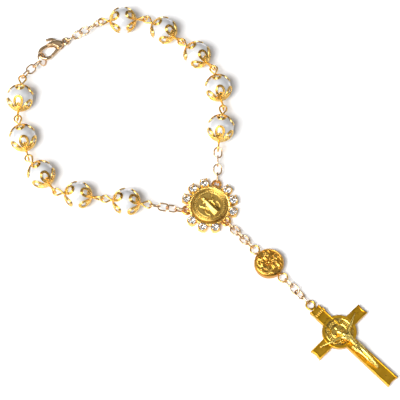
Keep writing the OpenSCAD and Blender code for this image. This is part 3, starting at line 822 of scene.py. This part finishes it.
def make_clasp():
    piece("clasp_frame", clasp_body_form().placed(AT_CLASP), [GOLD_PALE], "clasp_body")
    piece("clasp_trigger", lever_form().placed(AT_CLASP), [GOLD_PALE], "clasp_lever", body="lever")
    rivet = spin(RIVET, 24)
    piece("clasp_rivet", form_of(rivet, AT_CLASP @ shift(*PIVOT, 0)), [GOLD_PALE], "clasp_pin")
    ring = sweep(open_circle(JUMP_R, 72, 0, JUMP_OPENING), round_section(JUMP_WIRE, 14))
    place = along(LEFT[7], LEFT[8], JUMP_ROLL) @ turn("Z", JUMP_TURN)
    piece("open_ring", form_of(ring, place), [GOLD_PALE], "jump_ring")


# Medal centre

# Rims of the medal, as radius, width and height
COIN_RIMS = [(5.25, 0.5, 0.4), (4.82, 0.34, 0.24), (4.02, 0.34, 0.28)]
# Field around the figure: its radius, and the radius and depth of its dish
FIGURE_FIELD = 3.85
DISH_R = 3.8
DISH_DEPTH = 0.12
# One side of the figure, with sleeves and a sprig: start, end, half width at each, height
FIGURE_SIDE = [((-1.3, 0.6), (-0.3, 1.75), 0.4, 0.38, 0.44), ((-0.3, 1.75), (-1.2, 2.2), 0.3, 0.2, 0.36),
               ((-0.5, 1.4), (1.0, 1.35), 0.42, 0.2, 0.3), ((-1.9, 2.5), (-1.2, 2.35), 0.16, 0.22, 0.24)]
LEAVES = 5


def coin_height(x, y):
    """Face of the medal: three rims, a ring of beads, and a figure on a dished field."""
    r = np.hypot(x, y)
    rims = [annulus(r, *rim) for rim in COIN_RIMS]
    rims.append(bead_ring(x, y, 4.45, 40, 0.2, 0.15))
    z = FIELD_Z + np.maximum.reduce(rims)
    dish = DISH_DEPTH * np.clip(r / DISH_R, 0, 1) ** 2
    figure = figure_height(x, y) * (r < FIGURE_FIELD)
    return np.maximum(z - 0.06, FIELD_Z - DISH_DEPTH + dish + figure)


def figure_height(x, y):
    """Small robed figure with its head toward -X, its arms out and leaves at its sides."""
    fold = 1 + 0.08 * np.cos(y * 9 + 0.5 * np.sin(x * 1.4)) * np.clip((x + 1) / 3, 0, 1)
    robe = roof(x, y, (-1.6, 0), (5.2, 0.1), 1.15, 1.5, 0.64) * fold * (x < 3.5)
    hem = 0.06 * (np.abs(x - 3.3) < 0.12) * (robe > 0.1)
    mantle = roof(x, y, (-1.8, 0), (0.4, 0), 0.9, 1.2, 0.68)
    head = bump(x, y, (-2.75, 0), (-2.55, 0), 0.46, 0.44, 0.62)
    nose = bump(x, y, (-2.76, 0), (-2.6, 0), 0.06, 0.09, 0.08)
    brow = bump(x, y, (-2.82, -0.18), (-2.82, 0.18), 0.06, 0.06, 0.04)
    hood = bump(x, y, (-2.85, 0), (-1.9, 0), 0.6, 0.66, 0.44)
    parts = [robe + hem, mantle, head + nose + brow, hood]
    for s in (-1, 1):
        for p, q, rp, rq, height in FIGURE_SIDE:
            parts.append(bump(x, y, (p[0], s * p[1]), (q[0], s * q[1]), rp, rq, height))
        for k in range(LEAVES):
            leaf = (2.55 - 0.42 * k, s * (2.15 + 0.3 * k - 0.06 * k * k))
            parts.append(bump(x, y, leaf, (leaf[0] - 0.3, leaf[1]), 0.13, 0.2, 0.14))
    return np.maximum.reduce(parts)


def make_medal():
    face = [(r, coin_height) for r in np.linspace(0, COIN_R - 0.03, 104)]
    skirt = [(COIN_R, 2.0), (COIN_R, 0.2), (COIN_R - 0.2, 0), (0, 0)]
    coin = rings(face + skirt, 260)
    piece("relief_medal", form_of(coin, AT_MEDAL), [GOLD_MEDAL], "centre_medal", smooth=50)


# Cup of a stone as radius and height, and a prong as distance out, height and wire radius
CUP = [(0, 0), (CUP_R - 0.15, 0), (CUP_R, 0.12), (CUP_R, 0.5), (CUP_R - 0.12, 0.75), (CUP_R - 0.12, 1.2),
       (CUP_R, 1.5), (CUP_R, CUP_H - 0.06), (CUP_R - 0.06, CUP_H), (STONE_R + 0.05, CUP_H),
       (STONE_R + 0.03, CUP_H - 0.2), (0.7, 0.82), (0, 0.82)]
PRONGS = 4
PRONG_R = 0.2
PRONG = [(1.44, 0.15, 0.2), (1.46, 0.9, 0.2), (1.45, 1.7, 0.2), (1.43, 2.1, 0.21), (1.36, 2.28, 0.22),
         (1.24, 2.36, 0.2)]
# Foot that carries a connector ring, as radius and height
RING_FOOT = [(0.62, 0), (0.5, 0.12), (0.42, 0.5), (0.42, RING_Z - 0.2), (0, RING_Z)]


def setting_form():
    """Cup with a waist and four prongs that close over the stone."""
    form = Form()
    form.add(spin(CUP, 36))
    out, height, radius = np.transpose(PRONG)
    path = np.stack([out, np.zeros(len(PRONG)), height], 1)
    for k in range(PRONGS):
        place = turn("Z", 45 + 360 / PRONGS * k)
        wire = sweep(path, round_section(PRONG_R, 10), (1, 0, 0.2), scale=radius[:, None] / PRONG_R)
        form.add(wire, place)
        form.add(ball(0.29, 12), place @ shift(1.34, 0, 2.34))
    return form


def stone_places():
    """Places of the stones: all around the frame but for those of the connector rings."""
    return [turn("Z", 360 / PLACES * k) @ shift(SETTING_R, 0, 0) for k in range(PLACES)
            if k % (PLACES // RINGS)]


def frame_top(x, y):
    """Rope edge of the frame's band, with 72 slanting strands."""
    r, a = np.hypot(x, y), np.arctan2(y, x)
    middle = (FRAME_IN + FRAME_OUT) / 2
    rope = annulus(r, middle, FRAME_OUT - FRAME_IN, 0.2)
    return FRAME_H - FRAME_EDGE + rope * (0.75 + 0.25 * np.cos(72 * a + 5 * (r - middle)))


def make_stone_frame():
    form = Form()
    band = [(FRAME_IN, 0), (FRAME_IN, FRAME_H - FRAME_EDGE)]
    band += [(r, frame_top) for r in np.linspace(FRAME_IN + 0.02, FRAME_OUT - 0.02, 12)]
    band += [(FRAME_OUT, FRAME_H - 0.24), (FRAME_OUT, 0.1), (FRAME_OUT - 0.1, 0), (FRAME_IN, 0)]
    form.add(rings(band, 432))
    setting = setting_form().shape()
    for place in stone_places():
        form.add(setting, place)
    ring = sweep(circle(RING_R, 48), round_section(RING_WIRE, 16), closed=True)
    for k in range(RINGS):
        around = turn("Z", 360 / RINGS * k)
        form.add(ring, around @ shift(RING_PLACE, 0, RING_Z), 1)
        form.add(spin(RING_FOOT, 20), around @ shift(FRAME_OUT + 0.12, 0, 0), 1)
    piece("stone_setting", form.placed(AT_MEDAL), [GOLD_WARM, GOLD_ORANGE], "stone_frame", smooth=45)


def cut_stone():
    """Round brilliant: table, stars, kites, girdle halves, and a cut pavilion."""
    def ring_of(r, z, count, start=0.0):
        a = TAU * (np.arange(count) + start) / count
        return np.stack([r * np.cos(a), r * np.sin(a), np.full(count, z)], 1)

    table = ring_of(0.62 * STONE_R, 2.3, 8)
    crown = ring_of(0.83 * STONE_R, 2.16, 8, 0.5)
    upper = ring_of(STONE_R, 1.92, 16)
    lower = ring_of(STONE_R, 1.84, 16)
    under = ring_of(0.55 * STONE_R, 1.36, 8, 0.5)
    points = np.concatenate([table, crown, upper, lower, under, [[0, 0, 0.95]]])
    # Number of the first point of each ring, and of the lowest point
    t, c, u, w, p, tip = 0, 8, 16, 32, 48, 56
    top, back = [tuple(range(8))], []
    for i in range(8):
        j, h = (i + 1) % 8, (i - 1) % 8
        a, b, d = 2 * i, 2 * i + 1, (2 * i + 2) % 16
        top += [(t + i, t + j, c + i), (t + i, c + h, u + a, c + i)]
        top += [(c + i, u + a, u + b), (c + i, u + b, u + d)]
        top += [(u + a, u + b, w + b, w + a), (u + b, u + d, w + d, w + b)]
        back += [(tip, p + h, w + a, p + i), (p + i, w + a, w + b), (p + i, w + b, w + d)]
    return points, top, back


def make_stones():
    points, top, back = cut_stone()
    form = Form()
    for k, place in enumerate(stone_places()):
        form.add((points, top + back), AT_MEDAL @ place @ turn("Z", STONE_TURN * k))
        form.numbers[-len(back):] = [1] * len(back)
    piece("crystal_stones", form, [CRYSTAL, FOIL], "rhinestones", smooth=5)


# Pendant

# Two rings of petals: turn as a share of a petal, inner and outer end, half width, height
FLOWER_RINGS = [(0.0, 1.3, 2.1, 0.58, 0.28), (0.5, 2.2, 3.2, 0.5, 0.26)]
FLOWER_PETALS = 6
# Edge of the disc as radius and height, from the flower's field to the middle
DISC_EDGE = [(4.2, 1.36), (4.38, 1.2), (4.48, 0.9), (DISC_R, 0.5)]


def flower_height(x, y):
    """Open flower with a beaded heart, two rings of cleft petals and curls at their sides."""
    r, a = np.hypot(x, y), np.arctan2(y, x)
    z = DISC_FIELD + 0.12 * np.clip(np.cos(5 * a + 3.4 * r), 0, 1) * (r > 1.1) * (r < 3.75)
    for k in range(FLOWER_PETALS):
        for turned, inner, outer, width, lift in FLOWER_RINGS:
            angle = TAU * (k + turned) / FLOWER_PETALS
            u, v = x * math.cos(angle) + y * math.sin(angle), y * math.cos(angle) - x * math.sin(angle)
            leaf = bump(u, v, (inner, 0), (outer, 0), 0.6 * width, width, lift)
            cleft = 0.16 * np.exp(-(v / 0.09) ** 2) * (leaf > 0.05)
            z = np.maximum(z, DISC_FIELD + leaf - cleft)
            for s in (-1, 1):
                curl = bump(u, v, (outer, s * 0.95), (outer + 0.45, s * 0.55), 0.16, 0.2, 0.26)
                z = np.maximum(z, DISC_FIELD + curl * (r < 3.8))
    z = np.maximum(z, DISC_FIELD + bump(x, y, (0, 0), (0, 0), 0.5, 0.5, 0.42))
    z = np.maximum(z, DISC_FIELD + bead_ring(x, y, 0.85, 9, 0.25, 0.32))
    return np.maximum(z, DISC_FIELD + annulus(r, 3.95, 0.3, 0.26))


def flower_below(x, y):
    """The same flower on the underside."""
    return -flower_height(x, y)


def make_disc():
    form = Form()
    radii = np.linspace(0, 4.05, 80)
    levels = [(r, flower_height) for r in radii] + DISC_EDGE
    levels += [(r, -z) for r, z in reversed(DISC_EDGE)] + [(r, flower_below) for r in reversed(radii)]
    form.add(rings(levels, 210))
    collar = sweep(circle(0.42, 24), round_section(0.12, 8), closed=True)
    for s in (-1, 1):
        form.add(collar, shift(s * (DISC_R - 0.02), 0, 0) @ turn("Y", 90))
    piece("flower_bead", form.placed(AT_DISC), [GOLD_DISC], "flower_disc", smooth=50)
    pin = Form()
    reach = DISC_EYE_X - DISC_EYE_R
    pin.add(sweep([(x, 0, 0) for x in np.linspace(-reach, reach, 8)], round_section(PIN_R, 12)))
    eye = sweep(open_circle(DISC_EYE_R, 56, 180, DISC_EYE_OPENING), round_section(PIN_R, 14))
    for s in (-1, 1):
        pin.add(eye, turn("Z", 90 - 90 * s) @ shift(DISC_EYE_X, 0, 0))
    piece("disc_wire", pin.placed(AT_DISC), [GOLD_WARM], "disc_pin", smooth=60)


def arm_end(length, end_w, degrees, inset, steps=10):
    """Corner beside an arm of the cross, and the arm's hollowed end."""
    half, tip, corner = end_w / 2 - inset, length - inset, CROSS_W / 2 - inset
    t = np.linspace(-1, 1, steps + 1)
    points = [(corner, -corner)] + [(tip - CROSS_DIP * (1 - v * v), half * v) for v in t]
    c, s = math.cos(math.radians(degrees)), math.sin(math.radians(degrees))
    return [(x * c - y * s, x * s + y * c) for x, y in points]


def cross_outline(inset):
    side_w = 0.99 * CROSS_W
    return (arm_end(CROSS_DOWN, 1.06 * CROSS_W, 0, inset) + arm_end(CROSS_SIDE, side_w, 90, inset)
            + arm_end(CROSS_UP, side_w, 180, inset) + arm_end(CROSS_SIDE, side_w, 270, inset))


# Cross from its back to its sunk field, as inset of the outline and height
CROSS_LEVELS = [(0.12, 0), (0.03, 0.04), (0, 0.14), (0, CROSS_T - 0.14), (0.03, CROSS_T - 0.05),
                (0.12, CROSS_T), (CROSS_RIM - 0.1, CROSS_T), (CROSS_RIM - 0.02, CROSS_T - 0.06),
                (CROSS_RIM, CROSS_T - CROSS_FIELD)]
# Medal behind the crossing, as radius and height
HALO = [(0, 1.85), (2.05, 1.85), (2.15, 1.95), (2.3, 2.02), (2.45, 1.95), (2.52, 1.84), (3.72, 1.84),
        (3.78, 2.0), (3.95, 2.12), (4.12, 2.0), (4.2, 1.9), (5.03, 1.98), (5.15, 1.9)]


def halo_height(x, y):
    """Round medal behind the crossing: rims, two rings of beads and a plain cross."""
    r = np.hypot(x, y)
    z = np.interp(r, *np.transpose(HALO))
    z = z + bead_ring(x, y, 3.4, 30, 0.18, 0.07) + bead_ring(x, y, 2.9, 24, 0.17, 0.07, 0.1)
    bars = [roof(x, y, (-u, -v), (u, v), 0.25, 0.25, 0.12) for u, v in ((1.7, 0), (0, 1.7))]
    return z + np.maximum(*bars) * (r < 2)


def make_crucifix():
    form = Form()
    form.add(slab([(cross_outline(inset), z) for inset, z in CROSS_LEVELS]))
    form.add(rings([(r, halo_height) for r in np.linspace(0, HALO_BAND, 75)], 240), number=1)
    band = [(r, halo_height) for r in np.linspace(HALO_BAND, HALO_R, 17)]
    band += [(HALO_R, HALO_BACK + 0.15), (HALO_R - 0.12, HALO_BACK), (0, HALO_BACK)]
    form.add(rings(band, 240))
    add_title(form)
    ring = sweep(circle(CROSS_RING_R, 48), round_section(CROSS_RING_WIRE, 16), closed=True)
    form.add(ring, shift(-CROSS_RING_X, 0, RING_Z), 1)
    lug = smooth_outline([(-CROSS_UP + 0.7, -0.6), (-CROSS_UP + 0.7, 0.6), (-CROSS_UP - 0.25, 0.5),
                          (-CROSS_UP - 0.25, -0.5)], 2)
    form.add(rounded_slab(lug, RING_Z - 0.42, RING_Z + 0.42, 0.12))
    piece("cast_cross", form.placed(AT_CROSS), [GOLD_SATIN, GOLD_CAST], "crucifix", smooth=42)


def add_title(form):
    """Scroll with curled ends across the upper arm, with plain raised bars."""
    x, half = TITLE_X, TITLE_HALF
    plate = [(x - 0.75, -half), (x - 0.62, 0), (x - 0.75, half), (x + 0.75, half), (x + 0.62, 0),
             (x + 0.75, -half)]
    form.add(rounded_slab(smooth_outline(plate, 2), 1.6, 2.08, 0.08))
    for y in (-half, half):
        curl = rectangle(x - 0.7, x + 0.7, y - 0.14, y + 0.06)
        form.add(rounded_slab(curl, 1.7, 2.26, 0.08), number=1)
    for y in (-1.25, -0.62, 0, 0.62, 1.25):
        bar = rectangle(x - 0.45, x + 0.45, y - 0.14, y + 0.14)
        form.add(rounded_slab(bar, 1.9, 2.24, 0.05), number=1)


def limb(p, q, rp, rq):
    """Shape and place of a rounded limb between two points, with its own radius at each end."""
    p, q = np.array(p, float), np.array(q, float)
    v = q - p
    length = np.linalg.norm(v)
    profile = [(rp * math.cos(t), rp * math.sin(t)) for t in np.linspace(-math.pi / 2, 0, 6)]
    profile += [(rq * math.cos(t), length + rq * math.sin(t)) for t in np.linspace(0, math.pi / 2, 6)]
    z = v / length
    x = np.cross((0, 1, 0) if abs(z[1]) < 0.9 else (1, 0, 0), z)
    x /= np.linalg.norm(x)
    place = np.eye(4)
    place[:3, 0], place[:3, 1], place[:3, 2], place[:3, 3] = x, np.cross(z, x), z, p
    return spin(profile, 14), place


def corpus_form():
    """Figure with its arms out along the cross and a knotted cloth at the hips."""
    z, bed = FIGURE_Z, FIGURE_BED
    head, neck, chest = (0.35, -0.5, z + 0.42), (1.4, -0.05, z + 0.35), (2.7, 0.3, z + 0.3)
    waist, hips = (5.2, 0.35, z + 0.02), (6.9, 0.1, z)
    # Limbs as start, end and the radius at each, from the head with its hair and beard on
    limbs = [(head, (0.85, -0.38, z + 0.5), 0.72, 0.62),
             ((0.1, -0.5, z + 0.3), (0.9, -0.5, z + 0.1), 0.85, 0.6),
             ((0.2, -0.1, z + 0.15), (1.3, 0.35, z), 0.5, 0.35),
             ((0.2, -0.9, z + 0.15), (1.3, -0.85, z), 0.5, 0.3),
             ((0.95, -0.35, z + 0.55), (1.3, -0.3, z + 0.5), 0.42, 0.28),
             (head, neck, 0.45, 0.42), (neck, chest, 0.5, 0.75)]
    for s in (-1, 1):
        # Shoulder, arm, and hand with its fingers
        shoulder, bicep = (1.9, 0.2 + s * 1.15, z + 0.3), (1.3, s * 2.6, z + 0.3)
        elbow, forearm, hand = (0.9, s * 4, z + 0.28), (0.3, s * 5.3, z + 0.05), (-0.3, s * 6.6, bed + 0.3)
        limbs += [(shoulder, (2.8, 0.25 + s * 0.62, z + 0.3), 0.52, 0.72),
                  (shoulder, bicep, 0.5, 0.4), (bicep, elbow, 0.4, 0.36), (elbow, forearm, 0.38, 0.33),
                  (forearm, hand, 0.33, 0.22), (hand, (-0.5, s * 7.2, bed + 0.26), 0.28, 0.2)]
        limbs += [((-0.45, s * 7.1, bed + 0.27), (-0.6 + 0.25 * k, s * 7.5, bed + 0.2), 0.12, 0.09)
                  for k in (-1, 0, 1)]
        # Side of the chest, and leg
        thigh, knee = (8.8, s * 0.52 + 0.1, z + 0.2), (10.2, s * 0.5 + 0.05, z + 0.35)
        calf, ankle = (11.9, s * 0.45, z + 0.1), (14.2, s * 0.25, z - 0.3)
        limbs += [((2.7, 0.3 + s * 0.55, z + 0.32), (3.6, 0.35 + s * 0.45, z + 0.25), 0.7, 0.6),
                  ((3.9, 0.35 + s * 0.35, z + 0.12), waist, 0.5, 0.48),
                  ((7.4, s * 0.48 + 0.1, z), thigh, 0.72, 0.6), (thigh, knee, 0.6, 0.46),
                  (knee, calf, 0.46, 0.44), (calf, ankle, 0.44, 0.3),
                  (ankle, (15.5, s * 0.18, bed + 0.3), 0.3, 0.28)]
    # Belly, and the cloth with its knot at one hip
    limbs += [((3.4, 0.35, z + 0.1), waist, 0.75, 0.62), (waist, hips, 0.66, 0.82)]
    for k in range(5):
        x = 6.3 + 0.42 * k
        limbs.append(((x, -0.75, z + 0.12), (x + 0.45, 0.85, z + 0.12), 0.62 - 0.02 * k, 0.6))
    limbs += [((6.8, 0.95, z + 0.1), (8.9, 1.25, z - 0.35), 0.38, 0.22),
              ((6.8, 1.1, z), (9.3, 0.95, z - 0.4), 0.25, 0.18)]
    form = Form()
    for row in limbs:
        form.add(*limb(*row))
    return form


def fused(form, voxel):
    """Points and faces of one smooth skin around all of a form."""
    points, faces = form.shape()
    rough = bpy.data.meshes.new("figure_rough")
    rough.from_pydata(points.tolist(), [], faces)
    obj = bpy.data.objects.new("figure_rough", rough)
    bpy.context.collection.objects.link(obj)
    skin = obj.modifiers.new("skin", "REMESH")
    skin.mode, skin.voxel_size = "VOXEL", voxel
    soft = obj.modifiers.new("soft", "SMOOTH")
    soft.factor, soft.iterations = 0.6, 3
    shaped = bpy.data.meshes.new_from_object(obj.evaluated_get(bpy.context.evaluated_depsgraph_get()))
    points = np.array([v.co for v in shaped.vertices])
    faces = [tuple(p.vertices) for p in shaped.polygons]
    bpy.data.objects.remove(obj)
    bpy.data.meshes.remove(rough)
    bpy.data.meshes.remove(shaped)
    return points, faces


def make_corpus():
    points, faces = fused(corpus_form(), 0.075)
    points[:, 2] = np.maximum(points[:, 2], FIGURE_BED)
    x, y, z = points.T
    folds = 0.05 * np.sin((x - 0.35 * y) * 9) * (x > 6.1) * (x < 8.7) * (z > CROSS_T + 0.5)
    ribs = 0.035 * np.sin(x * 8) * (x > 2.4) * (x < 4.6) * (z > CROSS_T + 0.9)
    points[:, 2] += folds + ribs
    piece("cast_figure", form_of((points, faces), AT_CROSS), [GOLD_CAST], "corpus", smooth=70)


# Stage

def make_floor():
    n = Nodes("pale_floor")
    n.set(Roughness=0.9)
    n.feed("Base Color", n.ramp(n.noise(120, detail=2), [(0.3, gray(0.93)), (0.7, gray(0.96))]))
    mesh = bpy.data.meshes.new("floor")
    corners = rectangle(-FLOOR_HALF, FLOOR_HALF, -FLOOR_HALF, FLOOR_HALF)
    mesh.from_pydata([(x, y, 0) for x, y in corners], [], [(0, 1, 2, 3)])
    mesh.materials.append(n.material)
    floor = bpy.data.objects.new("floor", mesh)
    bpy.context.collection.objects.link(floor)


def softbox(name, place, size, power):
    data = bpy.data.lights.new(name, "AREA")
    data.shape, data.size, data.size_y = "RECTANGLE", *size
    data.energy = power
    light = bpy.data.objects.new(name, data)
    light.location = place
    light.rotation_euler = (-Vector(place)).to_track_quat("-Z", "Y").to_euler()
    bpy.context.collection.objects.link(light)


def make_light():
    world = bpy.data.worlds.new("studio")
    world.use_nodes = True
    tree = world.node_tree
    place = tree.nodes.new("ShaderNodeTexCoord")
    parts = tree.nodes.new("ShaderNodeSeparateXYZ")
    sky = tree.nodes.new("ShaderNodeValToRGB")
    elements = sky.color_ramp.elements
    for k, (height, v) in enumerate(SKY):
        # The ramp comes with two elements
        element = elements[k] if k < 2 else elements.new(height)
        element.position, element.color = height, (v, v, v * SKY_BLUE, 1)
    tree.links.new(place.outputs["Generated"], parts.inputs["Vector"])
    tree.links.new(parts.outputs["Z"], sky.inputs["Fac"])
    tree.links.new(sky.outputs["Color"], tree.nodes["Background"].inputs["Color"])
    bpy.context.scene.world = world
    bpy.context.scene.view_settings.view_transform = "Standard"
    for row in SOFTBOXES:
        softbox(*row)


def make_camera():
    aim, rise = Vector(CAMERA_AIM) * MM, math.radians(CAMERA_RISE)
    data = bpy.data.cameras.new("camera")
    data.sensor_width = SENSOR
    data.lens = SENSOR * CAMERA_DISTANCE / (IMAGE_W / PIXELS_PER_MM * MM)
    data.clip_start, data.clip_end = 0.01, 20
    camera = bpy.data.objects.new("camera", data)
    camera.location = aim + CAMERA_DISTANCE * Vector((0, -math.cos(rise), math.sin(rise)))
    camera.rotation_euler = (aim - camera.location).to_track_quat("-Z", "Y").to_euler()
    bpy.context.collection.objects.link(camera)
    bpy.context.scene.camera = camera


make_camera()
make_floor()
make_light()
make_beads()
make_chains()
make_clasp()
make_medal()
make_stone_frame()
make_stones()
make_disc()
make_crucifix()
make_corpus()
